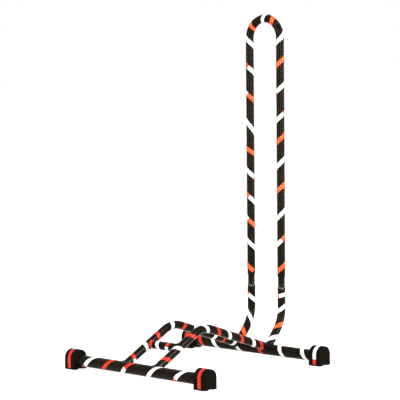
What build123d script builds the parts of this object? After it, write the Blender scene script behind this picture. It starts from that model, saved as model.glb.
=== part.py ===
"""Bicycle floor parking stand: a welded tube base, and a tall hoop that plugs into it.

Millimetres. X runs along the two cross tubes, Y from the front cross tube to the rear one, Z up.
The origin is on the floor, under the middle of the whole stand.
"""
import os
from math import cos, radians, sin, tan

from build123d import *

# ---- driving dimensions ------------------------------------------------------------------
# overall
STAND_WIDTH = 370.0           # over the feet, along X
BASE_LENGTH = 330.0           # front cross tube axis to rear cross tube axis
STAND_HEIGHT = 687.0          # floor to the top of the hoop
TYRE_GAP = 64.0               # clear width between the two rails, and inside the hoop

# round steel tube
TUBE_OD = 16.0                # rails, crossbar, lower legs and hoop
TUBE_WALL = 1.0
BASE_TUBE_OD = 22.0           # the two cross tubes
BASE_TUBE_WALL = 2.0
TUBE_FLOOR_GAP = 6.0          # under the cross tubes

# rails: each climbs from the front cross tube, bends over, and falls to the rear one
RAIL_PEAK_SETBACK = 136.0     # front cross tube axis to the corner of the bend, along Y
RAIL_PEAK_RISE = 69.0         # the same, up
RAIL_BEND_RADIUS = 60.0
RAIL_REAR_RISE = 4.0          # rail axis above the rear cross tube's axis, where they meet
CROSSBAR_SETBACK = 70.0       # front cross tube axis to crossbar axis

# lower legs: each leans back off the rear cross tube, then turns upright
LEG_SETBACK = 42.0            # rear cross tube axis to the upright part
LEG_START = -6.0              # where the leaning axis crosses the tube axis's height
LEG_LEAN = 42.0               # degrees from upright
LEG_BEND_RADIUS = 70.0
RIM_HEIGHT = 137.5            # open top end of the lower legs

# hoop ends: drawn down to a neck that slides into the lower legs
NECK_SHOWN = 23.5             # rim to the hoop's shoulder
NECK_IN_LEG = 35.0            # length of neck inside the leg
NECK_CLEARANCE = 0.1          # radial, neck in leg
SHOULDER_LENGTH = 3.0         # taper from the full tube to the neck

# snap buttons, one in each neck, facing between the front and the right
BUTTON_DIAMETER = 6.4
BUTTON_DROP = 2.0             # button axis below the rim
BUTTON_PROUD = 1.6            # head beyond the lower leg's surface
BUTTON_STROKE = 2.9           # pressed until the head is inside the leg
BUTTON_GUIDE_CLEARANCE = 0.1  # radial, button in its hole in the neck
NOTCH_CLEARANCE = 0.3         # all round, button in the notch of the leg's rim
BUTTON_FACING = -45.0         # degrees from +X, about Z
BUTTON_DOME_RADIUS = 5.0
FLANGE_DIAMETER = 7.8
FLANGE_THICKNESS = 0.9
FLANGE_CLEARANCE = 0.2        # flange rim to the neck's bore
SPRING_STRIP = 0.6            # thickness of the clip's strip
SPRING_WIDTH = 6.0
SPRING_LENGTH = 27.0
SPRING_GAP = 0.15             # clip to the neck's wall, and to the button
SPRING_REACH = 1.0            # clip's arms past the button's rim

# feet: moulded caps with a flat bottom and a round top
FOOT_LENGTH = 28.0
FOOT_SIDE_WALL = 5.5          # plastic in front of and behind the tube
FOOT_TOP_WALL = 10.0
FOOT_END_WALL = 4.0
FOOT_END_ROUND = 1.8
TUBE_END_GAP = 1.0            # cross tube's end to the foot's end wall
FOOT_CLEARANCE = 0.05         # radial, cross tube in its socket
COLLAR_WALL = 1.2
COLLAR_LENGTH = 5.0
COLLAR_FLARE = 3.6
SOLE_GROOVE_WIDTH = 13.0
SOLE_GROOVE_DEPTH = 2.0

# welds
WELD_SIZE = 2.2
WELD_GAP = 0.05               # between one tube's coped end, its bead and the next tube

# reflective tape, stuck round the tubes and feet
TAPE_WIDTH = 10.0
TAPE_THICKNESS = 0.3
TAPE_GLUE = 0.05
TAPE_FLOOR_CLEARANCE = 3.0    # a foot's tape ends this far above the floor
TAPE_LEAN = 45.0              # degrees off square to the tube
RAIL_TAPE_LEAN = {"left": -18.0, "right": 32.0}
CROSSBAR_TAPE_LEAN = 15.0
TAPE_FACING = -47.5           # degrees from +X, about Z: the side that the slant is set out on
FOOT_TAPE_INSET = 14.0        # outer end of the foot to the middle of its tape

# how far along its tube the middle of each strip was stuck, by hand, so no two gaps are the same
# hoop: from the rim up to the middle of the arch, each side
HOOP_TAPE = {
    "left": {"red": (31, 127, 272, 382, 527), "white": (82, 176, 226, 322, 439, 493, 559)},
    "right": {"red": (39, 201, 299, 452, 546), "white": (94, 147, 251, 343, 400, 498)},
}
# lower legs: from the rim down
LEG_TAPE = {
    "left": {"red": (98,), "white": (27, 68)},
    "right": {"red": (77,), "white": (17, 44, 109)},
}
# rails: from the front cross tube's axis
RAIL_TAPE = {
    "left": {"red": (103, 178, 302), "white": (30, 66, 145, 209, 273, 334)},
    "right": {"red": (37, 116, 193, 264, 325), "white": (74, 158, 226, 301)},
}
# cross tubes and crossbar: from the middle, to the left and right
CROSS_TUBE_TAPE = {
    "front": {"red": (-77,), "white": (-128, -25, 43, 110)},
    "rear": {"red": (-142, 22), "white": (-103, -60, 72, 129)},
}
CROSSBAR_TAPE = {"red": (-24,), "white": (-7, 15)}

# ---- sizes and places that follow from them ----------------------------------------------
TUBE_R = TUBE_OD / 2
BASE_TUBE_R = BASE_TUBE_OD / 2
BASE_AXIS_HEIGHT = TUBE_FLOOR_GAP + BASE_TUBE_R
FOOT_DEPTH = BASE_TUBE_OD + 2 * FOOT_SIDE_WALL
FOOT_HEIGHT = BASE_AXIS_HEIGHT + BASE_TUBE_R + FOOT_TOP_WALL
SIDE_X = (TYRE_GAP + TUBE_OD) / 2                    # rail, leg and hoop axes, either side of X = 0
STAND_DEPTH = FOOT_DEPTH / 2 + BASE_LENGTH + LEG_SETBACK + TUBE_R
FRONT_Y = -STAND_DEPTH / 2 + FOOT_DEPTH / 2
REAR_Y = FRONT_Y + BASE_LENGTH
HOOP_Y = REAR_Y + LEG_SETBACK
AXIS_Y = {"front": FRONT_Y, "rear": REAR_Y}
SIDES = {"left": -1, "right": 1}

SHOULDER_HEIGHT = RIM_HEIGHT + NECK_SHOWN
NECK_BOTTOM = RIM_HEIGHT - NECK_IN_LEG
NECK_R = TUBE_R - TUBE_WALL - NECK_CLEARANCE
NECK_BORE_R = NECK_R - TUBE_WALL
ARCH_HEIGHT = STAND_HEIGHT - TUBE_R - SIDE_X         # centre of the arch

BUTTON_R = BUTTON_DIAMETER / 2
BUTTON_HEIGHT = RIM_HEIGHT - BUTTON_DROP
BUTTON_TIP = TUBE_R + BUTTON_PROUD                   # from the leg's axis
FLANGE_FRONT = ((NECK_BORE_R - FLANGE_CLEARANCE) ** 2 - (FLANGE_DIAMETER / 2) ** 2) ** 0.5
FLANGE_BACK = FLANGE_FRONT - FLANGE_THICKNESS        # both from the leg's axis


def button_plane(side_x):
    """At the leg's axis and the button's height: local Z points out through the button."""
    facing = Vector(cos(radians(BUTTON_FACING)), sin(radians(BUTTON_FACING)), 0)
    across = Vector(-facing.Y, facing.X, 0)
    return Plane(origin=(side_x, HOOP_Y, BUTTON_HEIGHT), x_dir=across, z_dir=facing)


# ---- shared shapes -----------------------------------------------------------------------
def rod(start, end, radius):
    """A solid round bar from one point to another."""
    axis = Vector(end) - Vector(start)
    bar = Cylinder(radius, axis.length, align=(Align.CENTER, Align.CENTER, Align.MIN))
    return Plane(origin=start, z_dir=axis) * bar


def ring_along(path, inner_r, outer_r):
    """A round ring section carried along a centreline: a bent tube, or the tape shell round one."""
    section = Circle(outer_r) - Circle(inner_r)
    return sweep(Plane(origin=path @ 0, z_dir=path % 0) * section, path=path)


def tube_along(path):
    return ring_along(path, TUBE_R - TUBE_WALL, TUBE_R)


def cross_axis(end, half=STAND_WIDTH / 2):
    """Two points on the axis of the front or rear cross tube."""
    return [(x, AXIS_Y[end], BASE_AXIS_HEIGHT) for x in (-half, half)]


def rail_corners(side_x):
    return (
        Vector(side_x, FRONT_Y, BASE_AXIS_HEIGHT),
        Vector(side_x, FRONT_Y + RAIL_PEAK_SETBACK, BASE_AXIS_HEIGHT + RAIL_PEAK_RISE),
        Vector(side_x, REAR_Y, BASE_AXIS_HEIGHT + RAIL_REAR_RISE),
    )


def rail_path(side_x):
    return FilletPolyline(*rail_corners(side_x), radius=RAIL_BEND_RADIUS)


def leg_path(side_x):
    """From the rim down the upright part, round the bend, to the rear cross tube."""
    turn_height = BASE_AXIS_HEIGHT + (LEG_SETBACK - LEG_START) / tan(radians(LEG_LEAN))
    return FilletPolyline(
        (side_x, HOOP_Y, RIM_HEIGHT),
        (side_x, HOOP_Y, turn_height),
        (side_x, REAR_Y + LEG_START, BASE_AXIS_HEIGHT),
        radius=LEG_BEND_RADIUS,
    )


def hoop_path():
    """Up the left leg from the shoulder, over the arch, down the right leg."""
    left_up = Edge.make_line((-SIDE_X, HOOP_Y, SHOULDER_HEIGHT), (-SIDE_X, HOOP_Y, ARCH_HEIGHT))
    arch = Edge.make_three_point_arc(
        (-SIDE_X, HOOP_Y, ARCH_HEIGHT), (0, HOOP_Y, ARCH_HEIGHT + SIDE_X), (SIDE_X, HOOP_Y, ARCH_HEIGHT)
    )
    right_down = Edge.make_line((SIDE_X, HOOP_Y, ARCH_HEIGHT), (SIDE_X, HOOP_Y, SHOULDER_HEIGHT))
    return Wire([left_up, arch, right_down])


# ---- base frame --------------------------------------------------------------------------
def cross_tube(end):
    """Straight tube, plugged into a foot at each end."""
    half = STAND_WIDTH / 2 - FOOT_END_WALL - TUBE_END_GAP
    axis = cross_axis(end, half)
    return rod(*axis, BASE_TUBE_R) - rod(*axis, BASE_TUBE_R - BASE_TUBE_WALL)


def rail(side_x):
    """Bent tube, coped to the two cross tubes."""
    shape = tube_along(rail_path(side_x))
    for end in AXIS_Y:
        shape -= rod(*cross_axis(end), BASE_TUBE_R + WELD_GAP)
    return largest(shape)


def crossbar_axis():
    """The crossbar's axis is on the rising part of the rails' centrelines."""
    height = BASE_AXIS_HEIGHT + CROSSBAR_SETBACK * RAIL_PEAK_RISE / RAIL_PEAK_SETBACK
    return [(x, FRONT_Y + CROSSBAR_SETBACK, height) for x in (-SIDE_X, SIDE_X)]


def rising_rod(side_x, radius):
    """Solid bar along the straight rising part of a rail."""
    start, peak, _ = rail_corners(side_x)
    return rod(start, peak, radius)


def falling_rod(side_x, radius):
    """Solid bar along the straight falling part of a rail, on past the rear cross tube's axis."""
    _, peak, end = rail_corners(side_x)
    return rod(peak, end, radius)


def rail_crossbar():
    """Short tube between the rails, coped to both."""
    shape = rod(*crossbar_axis(), TUBE_R) - rod(*crossbar_axis(), TUBE_R - TUBE_WALL)
    for sign in SIDES.values():
        shape -= rising_rod(sign * SIDE_X, TUBE_R + WELD_GAP)
    return largest(shape)


def button_notch(side_x):
    """The round-bottomed notch in the rim that the snap button rests in."""
    width = BUTTON_DIAMETER + 2 * NOTCH_CLEARANCE
    sketch = Circle(width / 2) + Pos(0, BUTTON_DROP) * Rectangle(width, 2 * BUTTON_DROP)
    return extrude(button_plane(side_x) * sketch, amount=TUBE_OD)


def lower_leg(side_x):
    """Bent tube, coped to the rear cross tube and the end of the rail, notched at its rim."""
    shape = tube_along(leg_path(side_x))
    shape -= rod(*cross_axis("rear"), BASE_TUBE_R + WELD_GAP)
    shape -= falling_rod(side_x, TUBE_R + WELD_GAP)
    shape -= button_notch(side_x)
    return largest(shape)


def largest(shape):
    """The piece that is kept when a cope trims the end of a tube."""
    return shape.solids().sort_by(SortBy.VOLUME)[-1]


# ---- weld beads --------------------------------------------------------------------------
def bead(branch, grown_branch, mains, grown_mains):
    """A ring of weld round one tube where it meets others: in reach of both, outside both."""
    ring = grown_branch & grown_mains
    ring -= branch
    for main in mains:
        ring -= main
    return largest(ring)


def rail_beads(end):
    """Where the rails meet the front or rear cross tube."""
    beads = []
    for sign in SIDES.values():
        x = sign * SIDE_X
        run = rising_rod if end == "front" else falling_rod
        mains = [rod(*cross_axis(end), BASE_TUBE_R + WELD_GAP)]
        if end == "rear":
            mains.append(rod(*leg_start(x), TUBE_R + WELD_GAP))
        grown_main = rod(*cross_axis(end), BASE_TUBE_R + WELD_SIZE)
        beads.append(bead(run(x, TUBE_R + WELD_GAP), run(x, TUBE_R + WELD_SIZE), mains, grown_main))
    return beads


def leg_start(side_x):
    """The leaning part's axis, from inside the rear cross tube to well clear of it."""
    start = Vector(side_x, REAR_Y + LEG_START, BASE_AXIS_HEIGHT)
    lean = Vector(0, sin(radians(LEG_LEAN)), cos(radians(LEG_LEAN)))
    return start, start + lean * (BASE_TUBE_OD + TUBE_OD)


def leg_beads():
    """Where the lower legs meet the rear cross tube and the ends of the rails."""
    beads = []
    for sign in SIDES.values():
        x = sign * SIDE_X
        mains = [
            rod(*cross_axis("rear"), BASE_TUBE_R + WELD_GAP),
            falling_rod(x, TUBE_R + WELD_SIZE + WELD_GAP),
        ]
        leg = rod(*leg_start(x), TUBE_R + WELD_GAP)
        grown_leg = rod(*leg_start(x), TUBE_R + WELD_SIZE)
        grown_main = rod(*cross_axis("rear"), BASE_TUBE_R + WELD_SIZE)
        beads.append(bead(leg, grown_leg, mains, grown_main))
    return beads


def crossbar_beads():
    """Where the crossbar meets the rails."""
    beads = []
    left, right = crossbar_axis()
    middle = (0, left[1], left[2])
    for start in (left, right):
        bar = rod(start, middle, TUBE_R + WELD_GAP)
        grown_bar = rod(start, middle, TUBE_R + WELD_SIZE)
        main = rising_rod(start[0], TUBE_R + WELD_GAP)
        grown_main = rising_rod(start[0], TUBE_R + WELD_SIZE)
        beads.append(bead(bar, grown_bar, [main], grown_main))
    return beads


# ---- feet --------------------------------------------------------------------------------
def foot_outline(grow=0.0):
    """Upright sides with a half-round top: local X is the stand's Y, local Y is height."""
    radius = FOOT_DEPTH / 2
    spring_line = FOOT_HEIGHT - radius
    outline = Pos(0, spring_line / 2) * Rectangle(FOOT_DEPTH, spring_line)
    outline += Pos(0, spring_line) * Circle(radius)
    return offset(outline, grow) if grow else outline


def foot_collar():
    """Round collar, flared into the foot's inner face. Local Z is the tube's axis, 0 at that face."""
    lip_r = BASE_TUBE_R + COLLAR_WALL
    flare = Edge.make_three_point_arc(
        (lip_r + COLLAR_FLARE, 0),
        (lip_r + COLLAR_FLARE * (1 - sin(radians(45))), COLLAR_FLARE * (1 - cos(radians(45)))),
        (lip_r, COLLAR_FLARE),
    )
    outline = Polyline((lip_r, COLLAR_FLARE), (lip_r, COLLAR_LENGTH), (0, COLLAR_LENGTH), (0, 0),
                       (lip_r + COLLAR_FLARE, 0))
    return revolve(Plane.XZ * make_face([flare, *outline.edges()]), Axis.Z)


def right_foot():
    """The right-hand foot of a cross tube whose axis is at Y = 0."""
    inner_x = STAND_WIDTH / 2 - FOOT_LENGTH
    body = extrude(Plane.YZ.offset(inner_x) * foot_outline(), amount=FOOT_LENGTH)
    outer_face = body.faces().sort_by(Axis.X)[-1]
    body = fillet(outer_face.edges(), FOOT_END_ROUND)
    axis_point = (inner_x, 0, BASE_AXIS_HEIGHT)
    body += Plane(origin=axis_point, x_dir=(0, 1, 0), z_dir=(-1, 0, 0)) * foot_collar()
    body -= rod(
        (inner_x - COLLAR_LENGTH, 0, BASE_AXIS_HEIGHT),
        (STAND_WIDTH / 2 - FOOT_END_WALL, 0, BASE_AXIS_HEIGHT),
        BASE_TUBE_R + FOOT_CLEARANCE,
    )
    groove = Box(2 * FOOT_LENGTH, SOLE_GROOVE_WIDTH, 2 * SOLE_GROOVE_DEPTH)
    return body - Pos(STAND_WIDTH / 2, 0, 0) * groove


def foot_tape():
    """A band over the right-hand foot, from near the floor on one side to near it on the other."""
    band = foot_outline(TAPE_GLUE + TAPE_THICKNESS) - foot_outline(TAPE_GLUE)
    band -= Rectangle(2 * FOOT_DEPTH, 2 * TAPE_FLOOR_CLEARANCE)
    start_x = STAND_WIDTH / 2 - FOOT_TAPE_INSET - TAPE_WIDTH / 2
    return extrude(Plane.YZ.offset(start_x) * band, amount=TAPE_WIDTH)


def on_side(shape, side, end):
    """The right-hand shape, moved to a cross tube and mirrored if it is on the left."""
    placed = Pos(0, AXIS_Y[end], 0) * shape
    return mirror(placed, Plane.YZ) if side == "left" else placed


# ---- hoop, snap buttons and spring clips -------------------------------------------------
def neck(side_x):
    """The drawn-down end of the hoop, with its shoulder and the hole for the snap button."""
    profile = Polyline(
        (NECK_BORE_R, NECK_BOTTOM),
        (NECK_R, NECK_BOTTOM),
        (NECK_R, SHOULDER_HEIGHT - SHOULDER_LENGTH),
        (TUBE_R, SHOULDER_HEIGHT),
        (TUBE_R - TUBE_WALL, SHOULDER_HEIGHT),
        (NECK_BORE_R, SHOULDER_HEIGHT - SHOULDER_LENGTH),
        close=True,
    )
    turned = Pos(side_x, HOOP_Y, 0) * revolve(Plane.XZ * make_face(profile), Axis.Z)
    hole = button_plane(side_x) * Cylinder(
        BUTTON_R + BUTTON_GUIDE_CLEARANCE, TUBE_OD, align=(Align.CENTER, Align.CENTER, Align.MIN)
    )
    return turned - hole


def upper_hoop():
    """One tube: two long legs and the arch, with a neck at each end."""
    hoop = tube_along(hoop_path())
    for sign in SIDES.values():
        hoop += neck(sign * SIDE_X)
    return hoop


def snap_button(side_x):
    """Domed pin with a flange behind, inside the neck."""
    on_axis = (Align.CENTER, Align.CENTER, Align.MIN)
    flange = Pos(0, 0, FLANGE_BACK) * Cylinder(FLANGE_DIAMETER / 2, FLANGE_THICKNESS, align=on_axis)
    pin = Pos(0, 0, FLANGE_FRONT) * Cylinder(BUTTON_R, BUTTON_TIP - FLANGE_FRONT, align=on_axis)
    dome = Pos(0, 0, BUTTON_TIP - BUTTON_DOME_RADIUS) * Sphere(BUTTON_DOME_RADIUS)
    return button_plane(side_x) * (flange + (pin & dome))


def spring_clip(side_x):
    """Hairpin of flat strip: one arm behind the button, the other on the neck's far wall."""
    front = FLANGE_BACK - SPRING_GAP
    back = -((NECK_BORE_R - SPRING_GAP) ** 2 - (SPRING_WIDTH / 2) ** 2) ** 0.5
    arms_gap = front - back - 2 * SPRING_STRIP
    top = BUTTON_R + SPRING_REACH
    outer = Rectangle(front - back, SPRING_LENGTH)
    outer += Pos(0, -SPRING_LENGTH / 2) * Circle((front - back) / 2)
    inner = Rectangle(arms_gap, SPRING_LENGTH) + Pos(0, -SPRING_LENGTH / 2) * Circle(arms_gap / 2)
    hairpin = Pos((front + back) / 2, top - SPRING_LENGTH / 2) * (outer - inner)
    base_plane = button_plane(side_x)
    across = Plane(origin=base_plane.origin, x_dir=base_plane.z_dir, z_dir=-base_plane.x_dir)
    return extrude(across * hairpin, amount=SPRING_WIDTH / 2, both=True)


# ---- reflective tape ---------------------------------------------------------------------
def joint_rods():
    """Solid bars as fat as the welds along every tube of the base, to trim the tape with."""
    grow = WELD_SIZE + WELD_GAP
    rods = {"crossbar": [rod(*crossbar_axis(), TUBE_R + grow)]}
    for end in AXIS_Y:
        rods[end] = [rod(*cross_axis(end), BASE_TUBE_R + grow)]
    rods["rails"] = []
    rods["legs"] = []
    for sign in SIDES.values():
        x = sign * SIDE_X
        rods["rails"] += [rising_rod(x, TUBE_R + grow), falling_rod(x, TUBE_R + grow)]
        rods["legs"].append(rod(*leg_start(x), TUBE_R + grow))
    return rods


def trimmed(strips, blockers):
    """Each strip without what lies under a joining tube, its weld or a foot."""
    kept = []
    for strip in strips:
        near = [block for block in blockers if block.bounding_box().overlaps(strip.bounding_box())]
        for block in near:
            strip = largest(strip - block)
        kept.append(strip)
    return kept


def tape_strips(path, tube_r, places, lean):
    """Slanting bands round a tube, each a slice of a thin shell at its place along the path."""
    shell = ring_along(path, tube_r + TAPE_GLUE, tube_r + TAPE_GLUE + TAPE_THICKNESS)
    towards = Vector(cos(radians(TAPE_FACING)), sin(radians(TAPE_FACING)), 0)
    strips = []
    for place in places:
        at = path.position_at(place, position_mode=PositionMode.LENGTH)
        along = path.tangent_at(place, position_mode=PositionMode.LENGTH)
        facing = (towards - along * towards.dot(along)).normalized()
        square = Plane(origin=at, x_dir=facing, z_dir=along)
        slab = Box(4 * tube_r, 4 * tube_r, TAPE_WIDTH)
        strips += (shell & (square * Rot(lean, 0, 0) * slab)).solids()
    return strips


def hoop_side_path(side_x):
    """From the rim's height up one leg of the hoop and over half of the arch."""
    up = Edge.make_line((side_x, HOOP_Y, RIM_HEIGHT), (side_x, HOOP_Y, ARCH_HEIGHT))
    half_arch = Edge.make_three_point_arc(
        (side_x, HOOP_Y, ARCH_HEIGHT),
        (side_x * cos(radians(45)), HOOP_Y, ARCH_HEIGHT + SIDE_X * sin(radians(45))),
        (0, HOOP_Y, ARCH_HEIGHT + SIDE_X),
    )
    return Wire([up, half_arch])


def on_tube(places, length):
    """The places whose strips are wholly on a tube of this length."""
    room = TAPE_WIDTH / 2
    return [place for place in places if room <= place <= length - room]


def hoop_tape(colour):
    """Strips on the hoop: the lowest is cut off level with the shoulder."""
    strips = []
    for side, sign in SIDES.items():
        path = hoop_side_path(sign * SIDE_X)
        places = on_tube(HOOP_TAPE[side][colour], path.length)
        strips += tape_strips(path, TUBE_R, places, sign * TAPE_LEAN)
    on_floor = (Align.CENTER, Align.CENTER, Align.MIN)
    below_shoulder = Box(STAND_WIDTH, STAND_DEPTH, SHOULDER_HEIGHT, align=on_floor)
    return trimmed(strips, [below_shoulder])


def leg_tape(colour):
    strips = []
    for side, sign in SIDES.items():
        path = leg_path(sign * SIDE_X)
        places = on_tube(LEG_TAPE[side][colour], path.length)
        strips += tape_strips(path, TUBE_R, places, sign * TAPE_LEAN)
    rods = joint_rods()
    return trimmed(strips, rods["rear"] + rods["rails"])


def rail_tape(colour):
    strips = []
    for side, sign in SIDES.items():
        path = rail_path(sign * SIDE_X)
        places = on_tube(RAIL_TAPE[side][colour], path.length)
        strips += tape_strips(path, TUBE_R, places, RAIL_TAPE_LEAN[side])
    path = Wire([Edge.make_line(*crossbar_axis())])
    places = on_tube([place + SIDE_X for place in CROSSBAR_TAPE[colour]], path.length)
    bar_strips = tape_strips(path, TUBE_R, places, CROSSBAR_TAPE_LEAN)
    rods = joint_rods()
    strips = trimmed(strips, rods["front"] + rods["rear"] + rods["crossbar"] + rods["legs"])
    return strips + trimmed(bar_strips, rods["rails"])


def foot_ends():
    """Blocks over the ends of both cross tubes, from the feet's collars outwards."""
    reach = FOOT_LENGTH + COLLAR_LENGTH + FOOT_CLEARANCE
    block = Box(reach, 2 * BASE_LENGTH, FOOT_HEIGHT, align=(Align.MAX, Align.CENTER, Align.MIN))
    right = Pos(STAND_WIDTH / 2, 0, 0) * block
    return [right, mirror(right, Plane.YZ)]


def cross_tube_tape(colour):
    strips = []
    for end, lean in (("front", -TAPE_LEAN), ("rear", TAPE_LEAN)):
        path = Wire([Edge.make_line(*cross_axis(end))])
        places = [place + STAND_WIDTH / 2 for place in CROSS_TUBE_TAPE[end][colour]]
        strips += tape_strips(path, BASE_TUBE_R, on_tube(places, path.length), lean)
    rods = joint_rods()
    return trimmed(strips, rods["rails"] + rods["legs"] + foot_ends())


# ---- the stand, one named node for each piece or group of like pieces ---------------------
def stand():
    nodes = {"upper_hoop": upper_hoop(), "rail_crossbar": rail_crossbar()}
    for end in AXIS_Y:
        nodes[f"cross_tube_{end}"] = cross_tube(end)
        nodes[f"weld_beads_{end}"] = Compound(children=rail_beads(end))
        for side in SIDES:
            nodes[f"foot_{end}_{side}"] = on_side(right_foot(), side, end)
    nodes["weld_beads_legs"] = Compound(children=leg_beads())
    nodes["weld_beads_crossbar"] = Compound(children=crossbar_beads())
    for side, sign in SIDES.items():
        x = sign * SIDE_X
        nodes[f"rail_{side}"] = rail(x)
        nodes[f"lower_leg_{side}"] = lower_leg(x)
        nodes[f"snap_button_{side}"] = snap_button(x)
        nodes[f"spring_clip_{side}"] = spring_clip(x)
    for colour in ("red", "white"):
        nodes[f"hoop_tape_{colour}"] = Compound(children=hoop_tape(colour))
        nodes[f"leg_tape_{colour}"] = Compound(children=leg_tape(colour))
        nodes[f"rail_tape_{colour}"] = Compound(children=rail_tape(colour))
        nodes[f"cross_tube_tape_{colour}"] = Compound(children=cross_tube_tape(colour))
    red_feet = [("left", "front"), ("right", "front"), ("left", "rear")]
    nodes["foot_tape_red"] = Compound(children=[on_side(foot_tape(), *place) for place in red_feet])
    nodes["foot_tape_white"] = on_side(foot_tape(), "right", "rear")
    return nodes


os.makedirs("parts", exist_ok=True)
for name, shape in stand().items():
    export_step(shape, f"parts/{name}.step")
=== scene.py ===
from math import atan2, cos, pi, radians, sin, sqrt, tan
from random import Random

import bpy
from mathutils import Euler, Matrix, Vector


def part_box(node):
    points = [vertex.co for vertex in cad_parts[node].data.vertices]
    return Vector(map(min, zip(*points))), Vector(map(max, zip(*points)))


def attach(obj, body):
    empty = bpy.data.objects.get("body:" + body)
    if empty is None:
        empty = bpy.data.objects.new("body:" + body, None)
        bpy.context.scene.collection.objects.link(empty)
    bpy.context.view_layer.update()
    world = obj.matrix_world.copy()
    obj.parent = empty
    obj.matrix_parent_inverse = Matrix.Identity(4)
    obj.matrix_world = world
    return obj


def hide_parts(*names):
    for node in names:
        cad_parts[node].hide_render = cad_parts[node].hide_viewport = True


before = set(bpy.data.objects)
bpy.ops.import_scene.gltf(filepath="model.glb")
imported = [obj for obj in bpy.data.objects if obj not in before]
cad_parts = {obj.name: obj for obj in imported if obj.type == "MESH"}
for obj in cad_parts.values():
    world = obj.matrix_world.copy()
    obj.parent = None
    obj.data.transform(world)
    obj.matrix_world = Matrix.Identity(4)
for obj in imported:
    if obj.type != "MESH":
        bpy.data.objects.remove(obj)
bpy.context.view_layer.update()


# --- studio ---------------------------------------------------------------------------------
# A plain white floor, lit a little from below, under an even white sky. Three tall narrow lamps
# draw the long highlights on the tubes. The camera is at the stand's right-hand front corner.
bpy.ops.object.select_all(action="DESELECT")
bpy.ops.mesh.primitive_plane_add(size=60, location=(0, 0, 0))
floor = bpy.context.object
floor.name = "studio_floor"
floor_paint = bpy.data.materials.new("studio_floor_paint")
floor_paint.use_nodes = True
floor_shader = floor_paint.node_tree.nodes["Principled BSDF"]
floor_shader.inputs["Base Color"].default_value = (0.45, 0.45, 0.45, 1)
floor_shader.inputs["Roughness"].default_value = 1.0
floor_shader.inputs["Specular IOR Level"].default_value = 0.0
floor_shader.inputs["Emission Color"].default_value = (1, 1, 1, 1)
floor_shader.inputs["Emission Strength"].default_value = 0.62
floor.data.materials.append(floor_paint)

sky = bpy.data.worlds.new("studio_sky")
sky.use_nodes = True
sky.node_tree.nodes["Background"].inputs["Color"].default_value = (1, 1, 1, 1)
sky.node_tree.nodes["Background"].inputs["Strength"].default_value = 1.0
bpy.context.scene.world = sky
bpy.context.scene.view_settings.view_transform = "Standard"

camera_place = Vector((2.1595, -2.3432, 0.5586))
camera_heading = radians(42.738)
camera_dip = radians(4.201)
camera_roll = radians(-0.549)
bpy.ops.object.camera_add(location=camera_place)
camera = bpy.context.object
camera.name = "camera"
aim = Euler((pi / 2 - camera_dip, 0, camera_heading)).to_matrix()
camera.rotation_euler = (aim @ Euler((0, 0, camera_roll)).to_matrix()).to_euler()
camera.data.lens = 148.1
camera.data.sensor_width = 36
camera.data.clip_end = 80
bpy.context.scene.camera = camera


def hang_lamp(name, bearing, distance, height, width, tall, watts):
    """A soft lamp, its bearing in degrees to the camera's right, turned to the stand's middle."""
    turn = camera_heading + radians(bearing)
    place = Vector((sin(turn) * distance, -cos(turn) * distance, height))
    bpy.ops.object.light_add(type="AREA", location=place)
    lamp = bpy.context.object
    lamp.name = name
    lamp.data.shape = "RECTANGLE"
    lamp.data.size = width
    lamp.data.size_y = tall
    lamp.data.energy = watts
    lamp.rotation_euler = (Vector((0, 0, 0.3)) - place).to_track_quat("-Z", "Y").to_euler()


hang_lamp("lamp_left", -58, 2.6, 1.0, 0.10, 2.4, 90)
hang_lamp("lamp_middle", 10, 3.2, 1.2, 0.10, 2.6, 110)
hang_lamp("lamp_right", 66, 2.4, 1.0, 0.12, 2.4, 95)
hang_lamp("lamp_over", 20, 0.9, 2.6, 1.6, 0.4, 30)


# --- black tube enamel ----------------------------------------------------------------------
# All the tubes are thin-walled steel, dipped in a glossy black enamel that dries with a faint
# orange peel. It has rubbed through to bare steel on the necks and beside the button notches, where the
# bare spots are also a painted glint on the notch corners.
def new_finish(name, roughness, metal=0.0):
    """A node finish: its material and its shader, with the two values that hold all over."""
    finish = bpy.data.materials.new(name)
    finish.use_nodes = True
    shader = finish.node_tree.nodes["Principled BSDF"]
    shader.inputs["Roughness"].default_value = roughness
    shader.inputs["Metallic"].default_value = metal
    return finish, shader


def feed(finish, socket, value):
    """Sets a socket to a value, or wires another node's output to it."""
    if isinstance(value, bpy.types.NodeSocket):
        finish.node_tree.links.new(value, socket)
    else:
        socket.default_value = value


def sums(finish, operation, *values):
    """One step of arithmetic on numbers or outputs."""
    step = finish.node_tree.nodes.new("ShaderNodeMath")
    step.operation = operation
    for socket, value in zip(step.inputs, values):
        feed(finish, socket, value)
    return step.outputs[0]


def blend_of(finish, share, first, second):
    """Two colours, or outputs, mixed by a share."""
    mixer = finish.node_tree.nodes.new("ShaderNodeMix")
    mixer.data_type = "RGBA"
    feed(finish, mixer.inputs["Factor"], share)
    feed(finish, mixer.inputs["A"], first)
    feed(finish, mixer.inputs["B"], second)
    return mixer.outputs["Result"]


def where_on_piece(finish):
    return finish.node_tree.nodes.new("ShaderNodeTexCoord").outputs["Object"]


def speckle(finish, place, per_metre, detail=2.0):
    """Soft random grey, with about so many spots to the metre."""
    noise = finish.node_tree.nodes.new("ShaderNodeTexNoise")
    noise.inputs["Scale"].default_value = per_metre
    noise.inputs["Detail"].default_value = detail
    feed(finish, noise.inputs["Vector"], place)
    return noise.outputs["Fac"]


def eased(finish, value, low, high, to_low=0.0, to_high=1.0):
    """A value spread from one range on to another, and held at its ends."""
    spread = finish.node_tree.nodes.new("ShaderNodeMapRange")
    spread.interpolation_type = "SMOOTHSTEP"
    feed(finish, spread.inputs["Value"], value)
    for name, number in (("From Min", low), ("From Max", high), ("To Min", to_low), ("To Max", to_high)):
        spread.inputs[name].default_value = number
    return spread.outputs["Result"]


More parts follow.
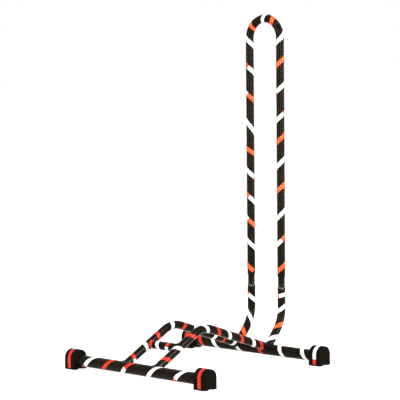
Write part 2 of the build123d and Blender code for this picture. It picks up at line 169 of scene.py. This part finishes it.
def raised(finish, shader, height, depth, strength=1.0):
    """Relief of that depth, in metres, over the whole finish."""
    bump = finish.node_tree.nodes.new("ShaderNodeBump")
    bump.inputs["Distance"].default_value = depth
    bump.inputs["Strength"].default_value = strength
    feed(finish, bump.inputs["Height"], height)
    feed(finish, shader.inputs["Normal"], bump.outputs["Normal"])


ENAMEL_DARK = (0.0020, 0.0015, 0.0008, 1)
ENAMEL_WARM = (0.0048, 0.0037, 0.0022, 1)
ENAMEL_SHEEN = (1.0, 0.82, 0.58, 1)
BARE_STEEL = (0.56, 0.55, 0.52, 1)


def enamel(name, bare=None):
    """Black enamel. bare(finish, place) gives how much of it has worn through to the steel."""
    finish, shader = new_finish(name, 0.26)
    shader.inputs["Specular IOR Level"].default_value = 0.055
    shader.inputs["Specular Tint"].default_value = ENAMEL_SHEEN
    place = where_on_piece(finish)
    colour = blend_of(finish, speckle(finish, place, 55.0), ENAMEL_DARK, ENAMEL_WARM)
    gloss = eased(finish, speckle(finish, place, 90.0, 4.0), 0.3, 0.7, 0.15, 0.20)
    if bare:
        share = bare(finish, place)
        colour = blend_of(finish, share, colour, BARE_STEEL)
        feed(finish, shader.inputs["Metallic"], share)
    feed(finish, shader.inputs["Base Color"], colour)
    feed(finish, shader.inputs["Roughness"], gloss)
    raised(finish, shader, speckle(finish, place, 260.0, 1.0), 0.00001, 0.10)
    return finish


def distance_to(finish, place, spot):
    away = finish.node_tree.nodes.new("ShaderNodeVectorMath")
    away.operation = "DISTANCE"
    feed(finish, away.inputs[0], place)
    away.inputs[1].default_value = spot
    return away.outputs["Value"]


def middle_of(node):
    low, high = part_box(node)
    return (low + high) / 2


NOTCH_HALF_WIDTH = 0.0035
NOTCH_FROM_AXIS = 0.0073
BUTTON_FACING = radians(-45)
WORN_GLINT_SPOT = 0.0009
rim_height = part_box("lower_leg_left")[1].z


# The spots below are worn paint and a painted highlight at once: they put the notch corners' glints into
# the enamel.
def worn_and_glinting_notches(finish, place):
    """Two small bright bare-steel spots beside each button: paint knocked off the notch's corners,
    placed and sized as a painted glint on them.
    """
    spots = []
    facing = Vector((cos(BUTTON_FACING), sin(BUTTON_FACING), 0))
    across = Vector((-facing.y, facing.x, 0))
    for side in ("left", "right"):
        rim = Vector((middle_of(f"rail_{side}").x, middle_of("upper_hoop").y, rim_height))
        for way in (-1, 1):
            corner = rim + facing * NOTCH_FROM_AXIS + across * way * NOTCH_HALF_WIDTH
            away = distance_to(finish, place, corner)
            spots.append(eased(finish, away, WORN_GLINT_SPOT, WORN_GLINT_SPOT * 1.6, 1.0, 0.0))
    pairs = [sums(finish, "MAXIMUM", *spots[:2]), sums(finish, "MAXIMUM", *spots[2:])]
    return sums(finish, "MAXIMUM", *pairs)


NECK_SHOWN = 0.0235


def worn_necks(finish, place):
    """Long scratches on the necks, from sliding in and out of the lower legs."""
    split = finish.node_tree.nodes.new("ShaderNodeSeparateXYZ")
    feed(finish, split.inputs[0], place)
    stretch = finish.node_tree.nodes.new("ShaderNodeVectorMath")
    stretch.operation = "MULTIPLY"
    feed(finish, stretch.inputs[0], place)
    stretch.inputs[1].default_value = (1.0, 1.0, 0.05)
    scratches = eased(finish, speckle(finish, stretch.outputs[0], 1500.0, 4.0), 0.62, 0.70)
    above_neck = eased(
        finish, split.outputs["Z"], rim_height + 0.010, rim_height + NECK_SHOWN - 0.006)
    on_neck = sums(finish, "SUBTRACT", 1.0, above_neck)
    return sums(finish, "MULTIPLY", sums(finish, "MULTIPLY", scratches, on_neck), 0.6)


base_enamel = enamel("black_enamel")
# The lower legs' enamel carries the bare spots that also serve as painted glints at the notches.
leg_enamel = enamel("black_enamel_glinting_worn_notches", worn_and_glinting_notches)
hoop_enamel = enamel("black_enamel_worn_necks", worn_necks)
enamelled = {
    base_enamel: ("cross_tube_front", "cross_tube_rear", "rail_left", "rail_right", "rail_crossbar"),
    leg_enamel: ("lower_leg_left", "lower_leg_right"),
    hoop_enamel: ("upper_hoop",),
}
for finish, tubes in enamelled.items():
    for tube in tubes:
        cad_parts[tube].material_slots[0].material = finish


# --- where the tubes run --------------------------------------------------------------------
# Every tube is straight or has one bend. Its run gives the point and the heading at any
# distance along its axis, for the welds and the tape that follow it.
def bent_run(start, corner, end, radius):
    """Straight from start, round the corner at that radius, straight on to the end."""
    first = (corner - start).normalized()
    last = (end - corner).normalized()
    turn = first.angle(last)
    to_bend = (corner - start).length - radius * tan(turn / 2)
    inward = (last - first * cos(turn)) / sin(turn)
    centre = start + first * to_bend + inward * radius
    past_bend = corner + last * radius * tan(turn / 2)

    def at(place):
        if place < to_bend:
            return start + first * place, first
        if place > to_bend + radius * turn:
            return past_bend + last * (place - to_bend - radius * turn), last
        swept = (place - to_bend) / radius
        point = centre + (first * sin(swept) - inward * cos(swept)) * radius
        return point, first * cos(swept) + inward * sin(swept)

    return at


def straight_run(start, end):
    heading = (end - start).normalized()
    return lambda place: (start + heading * place, heading)


tube_radius = (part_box("rail_left")[1].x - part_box("rail_left")[0].x) / 2
base_tube_radius = (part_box("cross_tube_front")[1].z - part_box("cross_tube_front")[0].z) / 2
side_x = middle_of("rail_right").x
front_axis = middle_of("cross_tube_front")
rear_axis = middle_of("cross_tube_rear")
crossbar_axis = middle_of("rail_crossbar")
hoop_y = middle_of("upper_hoop").y
arch_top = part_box("upper_hoop")[1].z - tube_radius
half_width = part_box("foot_front_right")[1].x

ARCH_CLOSENESS = 0.9999
RAIL_PEAK_SETBACK = 0.136
RAIL_PEAK_RISE = 0.069
RAIL_BEND = 0.060
RAIL_REAR_RISE = 0.004
LEG_START = 0.006
LEG_LEAN = radians(42)
LEG_BEND = 0.070
SIDES = {"left": -1, "right": 1}

rail_corners, leg_corners, rail_run, leg_run, hoop_run = {}, {}, {}, {}, {}
for side, sign in SIDES.items():
    x = sign * side_x
    rail_corners[side] = (
        Vector((x, front_axis.y, front_axis.z)),
        Vector((x, front_axis.y + RAIL_PEAK_SETBACK, front_axis.z + RAIL_PEAK_RISE)),
        Vector((x, rear_axis.y, rear_axis.z + RAIL_REAR_RISE)),
    )
    rail_run[side] = bent_run(*rail_corners[side], RAIL_BEND)
    leg_back = hoop_y - rear_axis.y + LEG_START
    leg_corners[side] = (
        Vector((x, hoop_y, rim_height)),
        Vector((x, hoop_y, rear_axis.z + leg_back / tan(LEG_LEAN))),
        Vector((x, rear_axis.y - LEG_START, rear_axis.z)),
    )
    leg_run[side] = bent_run(*leg_corners[side], LEG_BEND)
    arch_corner = Vector((x, hoop_y, arch_top))
    arch_middle = Vector((0, hoop_y, arch_top))
    leg_rim = Vector((x, hoop_y, rim_height))
    hoop_run[side] = bent_run(leg_rim, arch_corner, arch_middle, side_x * ARCH_CLOSENESS)
cross_run = {
    end: straight_run(Vector((0, axis.y, axis.z)), Vector((1, axis.y, axis.z)))
    for end, axis in (("front", front_axis), ("rear", rear_axis), ("crossbar", crossbar_axis))
}


# --- weld beads -----------------------------------------------------------------------------
# The rails, crossbar and lower legs are coped to the tubes they meet and run round with one
# pass of weld. Each bead is a rippled ring in the corner between the two tubes, enamelled over.
BEAD_RADIUS = 0.0017
RIPPLE_PITCH = 0.0017
RIPPLE_DEPTH = 0.00022
weld_enamel = enamel("black_enamel_on_welds")


def lay_bead(branch, branch_heading, branch_radius, main, main_heading, main_radius, seed):
    """One bead round a branch tube, starting inside the main tube and heading out of it."""
    ripples = round(2 * pi * branch_radius / RIPPLE_PITCH)
    bpy.ops.object.select_all(action="DESELECT")
    bpy.ops.mesh.primitive_torus_add(
        major_segments=ripples * 5, minor_segments=12,
        major_radius=branch_radius, minor_radius=BEAD_RADIUS,
    )
    bead = bpy.context.object
    right = branch_heading.cross(main_heading).normalized()
    ahead = right.cross(branch_heading).normalized()
    flat_heading = branch_heading - main_heading * branch_heading.dot(main_heading)
    shaky = Random(seed)
    wander = [shaky.uniform(0, 2 * pi) for _ in range(3)]
    for vertex in bead.data.vertices:
        round_branch = atan2(vertex.co.y, vertex.co.x)
        out = right * cos(round_branch) + ahead * sin(round_branch)
        seam = branch + out * branch_radius
        off = (seam - main) - main_heading * (seam - main).dot(main_heading)
        along = off.dot(flat_heading)
        inside = main_radius ** 2 - off.length_squared
        reach = (sqrt(max(along ** 2 + flat_heading.length_squared * inside, 0)) - along)
        seam = seam + branch_heading * (reach / flat_heading.length_squared)
        off = (seam - main) - main_heading * (seam - main).dot(main_heading)
        leaning = (out + off.normalized()).normalized()
        face = leaning.cross(out.cross(branch_heading)).normalized()
        across = sqrt(vertex.co.x ** 2 + vertex.co.y ** 2) - branch_radius
        lift = vertex.co.z
        step = (round_branch * ripples / (2 * pi)) % 1.0
        swell = 1 + (RIPPLE_DEPTH / BEAD_RADIUS) * (1.5 * step * step - 0.5)
        swell += 0.05 * sin(3 * round_branch + wander[0]) + 0.04 * sin(7 * round_branch + wander[1])
        vertex.co = seam + (leaning * (across + BEAD_RADIUS * 0.1) + face * lift) * swell
    bpy.ops.object.mode_set(mode="EDIT")
    bpy.ops.mesh.select_all(action="SELECT")
    bpy.ops.mesh.normals_make_consistent(inside=False)
    bpy.ops.object.mode_set(mode="OBJECT")
    bpy.ops.object.shade_smooth()
    return bead


def join_pieces(name, parts, finish):
    """Several meshes of one kind as one named piece, in one finish."""
    bpy.ops.object.select_all(action="DESELECT")
    for part in parts:
        part.select_set(True)
    bpy.context.view_layer.objects.active = parts[0]
    bpy.ops.object.join()
    piece = bpy.context.object
    bpy.ops.object.transform_apply(location=True, rotation=True, scale=True)
    piece.name = name
    piece.data.materials.clear()
    piece.data.materials.append(finish)
    return piece


beads = {"front": [], "rear": [], "legs": [], "crossbar": []}
for side, sign in SIDES.items():
    front, peak, rear = rail_corners[side]
    rise = (peak - front).normalized()
    fall = (peak - rear).normalized()
    leg_foot = leg_corners[side][2]
    climb = (leg_corners[side][1] - leg_foot).normalized()
    across_x = Vector((1, 0, 0))
    inward = Vector((-sign, 0, 0))
    bar_end = Vector((sign * side_x, crossbar_axis.y, crossbar_axis.z))
    beads["front"].append(
        lay_bead(front, rise, tube_radius, front_axis, across_x, base_tube_radius, 1))
    beads["rear"].append(
        lay_bead(rear, fall, tube_radius, rear_axis, across_x, base_tube_radius, 2))
    beads["legs"].append(
        lay_bead(leg_foot, climb, tube_radius, rear_axis, across_x, base_tube_radius, 3))
    beads["crossbar"].append(
        lay_bead(bar_end, inward, tube_radius * 0.998, bar_end, rise, tube_radius, 4))
for place, rings in beads.items():
    piece = join_pieces(f"weld_{place}", rings, weld_enamel)
    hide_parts(f"weld_beads_{place}")
    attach(piece, "base")


# --- reflective tape ------------------------------------------------------------------------
# Short lengths off a roll of red and white hazard tape, 8 mm wide, stuck on by hand at a
# slant. Sealed diamond cells show through its clear face, and a red block may end mid-strip.
TAPE_WIDTH = 0.008
TAPE_LENGTH = 0.058
TAPE_THICKNESS = 0.00022
GLUE = 0.00006
CELL = 3.4
MM = 0.001
CUT_LENGTH = 0.0011
HAND_WAVER = 0.00012
WAVER_RATE = 110
LIFTED_END = 0.003
LIFT_SLOPE = 0.012
TAPE_RED = (0.44, 0.014, 0.005, 1)
# The next two colours are the red tape again, painted brighter and more orange: painted light, as if the
# tape were lit harder.
TAPE_RED_PAINTED_LIT = (0.80, 0.065, 0.012, 1)
TAPE_RED_PAINTED_GLOW = (0.95, 0.18, 0.022, 1)
TAPE_WHITE = (0.66, 0.65, 0.64, 1)
TAPE_SILVER = (0.34, 0.33, 0.31, 1)


def tape_finish(name, own, own_line, other, other_line, painted_glow):
    """Tape in its own colour, and the roll's other colour past a block's end. Both have cells, and both
    glow with painted light.
    """
    finish, shader = new_finish(name, 0.22)
    laid = finish.node_tree.nodes.new("ShaderNodeAttribute")
    laid.attribute_name = "laid"
    split = finish.node_tree.nodes.new("ShaderNodeSeparateXYZ")
    feed(finish, split.inputs[0], laid.outputs["Vector"])
    lines = []
    for direction in ("ADD", "SUBTRACT"):
        slant = sums(finish, direction, split.outputs["X"], split.outputs["Y"])
        slant = sums(finish, "FRACT", sums(finish, "DIVIDE", slant, 2 * CELL))
        lines.append(sums(finish, "ABSOLUTE", sums(finish, "SUBTRACT", slant, 0.5)))
    nearest = sums(finish, "MAXIMUM", *lines)
    seal = eased(finish, nearest, 0.14, 0.44)
    # Soft random patches between each colour's two shades: painted glow, like the film's bright
    # retroreflected spots.
    painted_glow_mottle = eased(finish, speckle(finish, laid.outputs["Vector"], 0.35, 3.0), 0.40, 0.64)
    line_share = sums(finish, "MULTIPLY", seal, 0.9)
    mine = blend_of(finish, line_share, blend_of(finish, painted_glow_mottle, own[0], own[1]), own_line)
    theirs = blend_of(finish, line_share, blend_of(finish, painted_glow_mottle, other[0], other[1]), other_line)
    past_block = sums(finish, "GREATER_THAN", split.outputs["X"], 0.0)
    colour = blend_of(finish, past_block, mine, theirs)
    feed(finish, shader.inputs["Base Color"], colour)
    # The colour is also fed in as emission: a painted glow standing in for light thrown back by the
    # retroreflective film.
    feed(finish, shader.inputs["Emission Color"], colour)
    shader.inputs["Emission Strength"].default_value = painted_glow
    shader.inputs["Specular IOR Level"].default_value = 0.12
    raised(finish, shader, seal, 0.00012, 0.6)
    return finish


red = (TAPE_RED, (0.66, 0.055, 0.012, 1))
# The second red pair and the orange line colour below are the red tape painted brighter: painted light
# for the lit copies.
red_painted_lit = (TAPE_RED_PAINTED_LIT, TAPE_RED_PAINTED_GLOW)
white = (TAPE_WHITE, (0.88, 0.87, 0.86, 1))
red_line = (0.14, 0.004, 0.003, 1)
red_line_painted_lit = (0.42, 0.015, 0.005, 1)
low_red = tape_finish("tape_red_low", red, red_line, white, TAPE_SILVER, 0.04)
low_white = tape_finish("tape_white_low", white, TAPE_SILVER, red, red_line, 0.04)
# The hoop and lower-leg finishes are lit copies of the two above: the same tape with painted light in
# its colour and a stronger painted glow.
red_tape_painted_lit = tape_finish("tape_red_painted_lit", red_painted_lit, red_line_painted_lit, white, TAPE_SILVER, 0.2)
white_tape_painted_lit = tape_finish("tape_white_painted_lit", white, TAPE_SILVER, red_painted_lit, red_line_painted_lit, 0.2)

strips_laid = Random(7)
facing_right = radians(-47.5)
towards = Vector((cos(facing_right), sin(facing_right), 0))


def cut_tape(length, rows, columns):
    """A flat length of tape with its true thickness, laid along X, its underside at Z = 0."""
    bpy.ops.object.select_all(action="DESELECT")
    bpy.ops.mesh.primitive_grid_add(x_subdivisions=columns, y_subdivisions=rows, size=1)
    tape = bpy.context.object
    bpy.ops.object.mode_set(mode="EDIT")
    bpy.ops.transform.resize(value=(length, TAPE_WIDTH, 1))
    bpy.ops.object.mode_set(mode="OBJECT")
    wall = tape.modifiers.new("thickness", "SOLIDIFY")
    wall.thickness = TAPE_THICKNESS
    wall.offset = 1.0
    bpy.ops.object.modifier_apply(modifier="thickness")
    return tape


def mark_cells(tape, block_end, starts_at):
    """Notes where each point was on the roll, in millimetres: its finish follows that."""
    note = tape.data.attributes.new("laid", "FLOAT_VECTOR", "POINT")
    for vertex, mark in zip(tape.data.vertices, note.data):
        along = vertex.co.x / MM
        if block_end is None:
            along = along - 200
        elif block_end > 0:
            along = along - block_end
        else:
            along = block_end - along
        mark.vector = (along, vertex.co.y / MM + 1.3, starts_at)


def inside_rod(point, rod):
    """Is the point in a round bar, given as its start, heading, radius and length?"""
    start, heading, radius, length = rod
    off = point - start
    return off.cross(heading).length < radius and 0 < off.dot(heading) < length


def wind_strip(run, radius, middle, slant, block_end=None, short=(0, 0), blocked=()):
    """One strip round a tube: middle is how far along, slant how far off square, in degrees."""
    first = -TAPE_LENGTH / 2 + short[0] * MM
    last = TAPE_LENGTH / 2 - short[1] * MM
    tape = cut_tape(last - first, 6, round((last - first) / CUT_LENGTH))
    shift = (first + last) / 2
    for vertex in tape.data.vertices:
        vertex.co.x += shift
    mark_cells(tape, block_end, strips_laid.uniform(0, 90))
    lean = radians(slant + strips_laid.uniform(-1.5, 1.5))
    wave = strips_laid.uniform(0, 2 * pi)
    askew = strips_laid.uniform(-0.12, 0.12)
    for vertex in tape.data.vertices:
        along, across, height = vertex.co
        along += across * askew * abs(along) / TAPE_LENGTH
        across += HAND_WAVER * sin(along * WAVER_RATE + wave)
        curl = max(0, abs(along - shift) - (last - first) / 2 + LIFTED_END) * LIFT_SLOPE
        point, heading = run(middle * MM + along * sin(lean) + across * cos(lean))
        outward = (towards - heading * towards.dot(heading)).normalized()
        sideways = heading.cross(outward)
        swing = (along * cos(lean) - across * sin(lean)) / radius
        reach = radius + GLUE + height + curl
        vertex.co = point + (outward * cos(swing) + sideways * sin(swing)) * reach
    if blocked:
        bpy.ops.object.mode_set(mode="EDIT")
        bpy.ops.mesh.select_all(action="DESELECT")
        bpy.ops.object.mode_set(mode="OBJECT")
        for face in tape.data.polygons:
            corners = [tape.data.vertices[number].co for number in face.vertices]
            face.select = any(all(inside_rod(corner, rod) for corner in corners) for rod in blocked)
        bpy.ops.object.mode_set(mode="EDIT")
        bpy.ops.mesh.delete(type="FACE")
        bpy.ops.object.mode_set(mode="OBJECT")
    bpy.ops.object.mode_set(mode="EDIT")
    bpy.ops.mesh.select_all(action="SELECT")
    bpy.ops.mesh.normals_make_consistent(inside=False)
    bpy.ops.object.mode_set(mode="OBJECT")
    bpy.ops.object.shade_smooth_by_angle(angle=radians(40))
    return tape


def stick_on(name, strips, finish, body, node):
    """All the strips of one colour on one group of tubes, as one piece."""
    piece = join_pieces(name, strips, finish)
    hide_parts(node)
    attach(piece, body)


# --- tape on the hoop -----------------------------------------------------------------------
# Strips up both legs and over the arch. Each is given by its height above the rim of the lower
# legs, then its slant, and where it has one, the end of its colour block from its middle.
hoop_strips = {
    "left": {
        "red": ((33, -42, None, (0, 23)), (129, -42, -9), (274, -32), (384, -42, -9), (529, -20)),
        "white": ((84, -42), (178, -42, -5), (228, -42, 10), (324, -52), (441, -42, -5), (495, -42),
                  (566, -24)),
    },
    "right": {
        "red": ((41, 42, None, (11, 0)), (203, 42), (301, 42), (454, 42), (540, 22)),
        "white": ((96, 42, 1), (149, 42), (253, 42), (345, 42, 9), (402, 42, -12), (500, 42)),
    },
}
# The hoop's strips take the painted-lit copies of the tape finishes.
for colour, finish in (("red", red_tape_painted_lit), ("white", white_tape_painted_lit)):
    strips = [
        wind_strip(hoop_run[side], tube_radius, *strip)
        for side in SIDES
        for strip in hoop_strips[side][colour]
    ]
    stick_on(f"hoop_strips_{colour}", strips, finish, "hoop", f"hoop_tape_{colour}")


# --- tape on the lower legs -----------------------------------------------------------------
# Each strip is given by its distance below the rim. The lowest ones stop at the rear cross tube.
WELD_REACH = 0.0015
def cross_rod(axis, radius, half_length):
    """A round bar along X with its middle at the axis."""
    start = Vector((-half_length, axis.y, axis.z))
    return start, Vector((1, 0, 0)), radius + WELD_REACH, 2 * half_length


rear_rod = cross_rod(rear_axis, base_tube_radius, half_width)
front_rod = cross_rod(front_axis, base_tube_radius, half_width)
bar_rod = cross_rod(crossbar_axis, tube_radius, side_x)
rise_rod, fall_rod, leg_rod = {}, {}, {}
for side in SIDES:
    front, peak, rear = rail_corners[side]
    rise_rod[side] = (front, (peak - front).normalized(), tube_radius + WELD_REACH, 0.2)
    fall_rod[side] = (rear, (peak - rear).normalized(), tube_radius + WELD_REACH, 0.2)
    leg_foot = leg_corners[side][2]
    climb = (leg_corners[side][1] - leg_foot).normalized()
    leg_rod[side] = (leg_foot, climb, tube_radius + WELD_REACH, 0.1)

leg_strips = {
    "left": {"red": ((105, -42),), "white": ((25, -38, 9), (68, -52))},
    "right": {"red": ((79, 40),), "white": ((15, 12, 6), (42, 38, -10), (109, 42))},
}
# The lower legs' strips take the painted-lit copies of the tape finishes too.
for colour, finish in (("red", red_tape_painted_lit), ("white", white_tape_painted_lit)):
    strips = [
        wind_strip(leg_run[side], tube_radius, *strip, blocked=(rear_rod, fall_rod[side]))
        for side in SIDES
        for strip in leg_strips[side][colour]
    ]
    stick_on(f"leg_strips_{colour}", strips, finish, "base", f"leg_tape_{colour}")


# --- tape on the rails and the crossbar -----------------------------------------------------
# Along the rails from the front cross tube, and along the crossbar from its middle.
rail_strips = {
    "left": {
        "red": ((28, -18, 3), (103, -18), (178, -18), (302, -18)),
        "white": ((66, -18, 8), (145, -18), (209, -18), (273, -18), (334, -18)),
    },
    "right": {
        "red": ((37, 32), (116, 32), (193, 32), (264, 32), (325, 32)),
        "white": ((74, 32), (158, 32), (226, 32), (301, 32)),
    },
}
crossbar_strips = {
    "red": ((-28, 8, None, (3, 3)),),
    "white": ((-10, 15, None, (3, 3)), (15, -15, -1, (3, 3))),
}
for colour, finish in (("red", low_red), ("white", low_white)):
    strips = []
    for side in SIDES:
        joints = (front_rod, rear_rod, bar_rod)
        for strip in rail_strips[side][colour]:
            strips.append(wind_strip(rail_run[side], tube_radius, *strip, blocked=joints))
    for strip in crossbar_strips[colour]:
        joints = tuple(rise_rod.values())
        strips.append(wind_strip(cross_run["crossbar"], tube_radius, *strip, blocked=joints))
    stick_on(f"rail_strips_{colour}", strips, finish, "base", f"rail_tape_{colour}")


# --- tape on the cross tubes ----------------------------------------------------------------
# Along each tube from its middle, to the left and right. The front ones lean the other way.
cross_strips = {
    "front": {
        "red": ((-77, -45),),
        "white": ((-128, -45, 10), (-25, -45, -1), (43, -45), (110, -45, 7)),
    },
    "rear": {
        "red": ((-135, 30, None, (12, 12)), (25, 24)),
        "white": ((-97, 36), (-37, 42, -4), (80, 28, 12), (138, 30)),
    },
}
for colour, finish in (("red", low_red), ("white", low_white)):
    strips = []
    for end in ("front", "rear"):
        joints = tuple(rise_rod.values())
        if end == "rear":
            joints = tuple(fall_rod.values()) + tuple(leg_rod.values())
        for strip in cross_strips[end][colour]:
            strips.append(wind_strip(cross_run[end], base_tube_radius, *strip, blocked=joints))
    stick_on(
        f"cross_tube_strips_{colour}", strips, finish, "base",
        f"cross_tube_tape_{colour}")


# --- feet -----------------------------------------------------------------------------------
# Four moulded plastic caps with a flat sole and a round top, pushed over the cross tubes' ends.
# Their faces have a fine moulded grain, and are dusted a little paler along the sole.
PLASTIC_BLACK = (0.0026, 0.0018, 0.0011, 1)
PLASTIC_DUSTY = (0.0075, 0.0062, 0.0046, 1)
foot_plastic, foot_shader = new_finish("black_foot_plastic", 0.5)
foot_shader.inputs["Specular IOR Level"].default_value = 0.015
foot_shader.inputs["Specular Tint"].default_value = ENAMEL_SHEEN
on_foot = where_on_piece(foot_plastic)
foot_split = foot_plastic.node_tree.nodes.new("ShaderNodeSeparateXYZ")
feed(foot_plastic, foot_split.inputs[0], on_foot)
near_sole = eased(foot_plastic, foot_split.outputs["Z"], 0.0, 0.007, 0.8, 0.15)
dust = sums(foot_plastic, "MULTIPLY", near_sole, speckle(foot_plastic, on_foot, 260.0, 5.0))
foot_colour = blend_of(foot_plastic, dust, PLASTIC_BLACK, PLASTIC_DUSTY)
feed(foot_plastic, foot_shader.inputs["Base Color"], foot_colour)
foot_gloss = eased(foot_plastic, speckle(foot_plastic, on_foot, 120.0, 3.0), 0.3, 0.7, 0.42, 0.58)
feed(foot_plastic, foot_shader.inputs["Roughness"], foot_gloss)
raised(foot_plastic, foot_shader, speckle(foot_plastic, on_foot, 2400.0, 2.0), 0.00003, 0.3)
for end in ("front", "rear"):
    for side in SIDES:
        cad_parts[f"foot_{end}_{side}"].material_slots[0].material = foot_plastic


# --- tape bands on the feet -----------------------------------------------------------------
# One strip over each foot, up its front, round its top and down its back to just off the floor.
foot_half_depth = (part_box("foot_front_right")[1].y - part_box("foot_front_right")[0].y) / 2
foot_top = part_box("foot_front_right")[1].z
round_centre = foot_top - foot_half_depth
BAND_FROM_FLOOR = 0.003
BAND_INSET = 0.014
band_length = 2 * (round_centre - BAND_FROM_FLOOR) + pi * foot_half_depth


def foot_run(place):
    """The foot's outline from the middle of its top: how far back, how high, and its outward way."""
    quarter = pi / 2 * foot_half_depth
    if abs(place) <= quarter:
        swing = place / foot_half_depth
        outward = Vector((0, sin(swing), cos(swing)))
        return Vector((0, 0, round_centre)) + outward * foot_half_depth, outward
    way = 1 if place > 0 else -1
    outward = Vector((0, way, 0))
    return Vector((0, way * foot_half_depth, round_centre - abs(place) + quarter)), outward


def band_on_foot(side, axis, block_end=None):
    tape = cut_tape(band_length, 6, 84)
    mark_cells(tape, block_end, strips_laid.uniform(0, 90))
    tilt = strips_laid.uniform(-0.008, 0.008)
    middle_x = SIDES[side] * (half_width - BAND_INSET)
    for vertex in tape.data.vertices:
        along, across, height = vertex.co
        point, outward = foot_run(along)
        sideways = Vector((middle_x - across + along * tilt, axis.y, 0))
        vertex.co = point + sideways + outward * (GLUE + height)
    bpy.ops.object.mode_set(mode="EDIT")
    bpy.ops.mesh.select_all(action="SELECT")
    bpy.ops.mesh.normals_make_consistent(inside=False)
    bpy.ops.object.mode_set(mode="OBJECT")
    bpy.ops.object.shade_smooth_by_angle(angle=radians(40))
    return tape


red_bands = [
    band_on_foot("left", front_axis), band_on_foot("right", front_axis), band_on_foot("left", rear_axis),
]
stick_on("foot_bands_red", red_bands, low_red, "base", "foot_tape_red")
white_bands = [band_on_foot("right", rear_axis, -34)]
stick_on("foot_band_white", white_bands, low_white, "base", "foot_tape_white")


# --- snap buttons and spring clips ----------------------------------------------------------
# Zinc-plated steel buttons, dulled and dirty from handling, pushed out by hairpin clips of blued
# spring strip inside the necks.
ZINC_DULL = (0.020, 0.018, 0.015, 1)
ZINC_BRIGHT = (0.10, 0.095, 0.085, 1)
button_zinc, button_shader = new_finish("button_zinc", 0.42, 1.0)
on_button = where_on_piece(button_zinc)
zinc_colour = blend_of(
    button_zinc, eased(button_zinc, speckle(button_zinc, on_button, 700.0, 4.0), 0.4, 0.7),
    ZINC_DULL, ZINC_BRIGHT)
feed(button_zinc, button_shader.inputs["Base Color"], zinc_colour)
raised(button_zinc, button_shader, speckle(button_zinc, on_button, 3500.0, 2.0), 0.00003, 0.4)

STRIP_BLUE = (0.10, 0.12, 0.16, 1)
STRIP_STRAW = (0.24, 0.21, 0.16, 1)
spring_strip, spring_shader = new_finish("blued_spring_strip", 0.32, 1.0)
on_spring = where_on_piece(spring_strip)
blued = blend_of(spring_strip, speckle(spring_strip, on_spring, 160.0, 3.0), STRIP_BLUE, STRIP_STRAW)
feed(spring_strip, spring_shader.inputs["Base Color"], blued)
raised(spring_strip, spring_shader, speckle(spring_strip, on_spring, 2600.0, 2.0), 0.00002, 0.3)
for side in SIDES:
    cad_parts[f"snap_button_{side}"].material_slots[0].material = button_zinc
    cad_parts[f"spring_clip_{side}"].material_slots[0].material = spring_strip
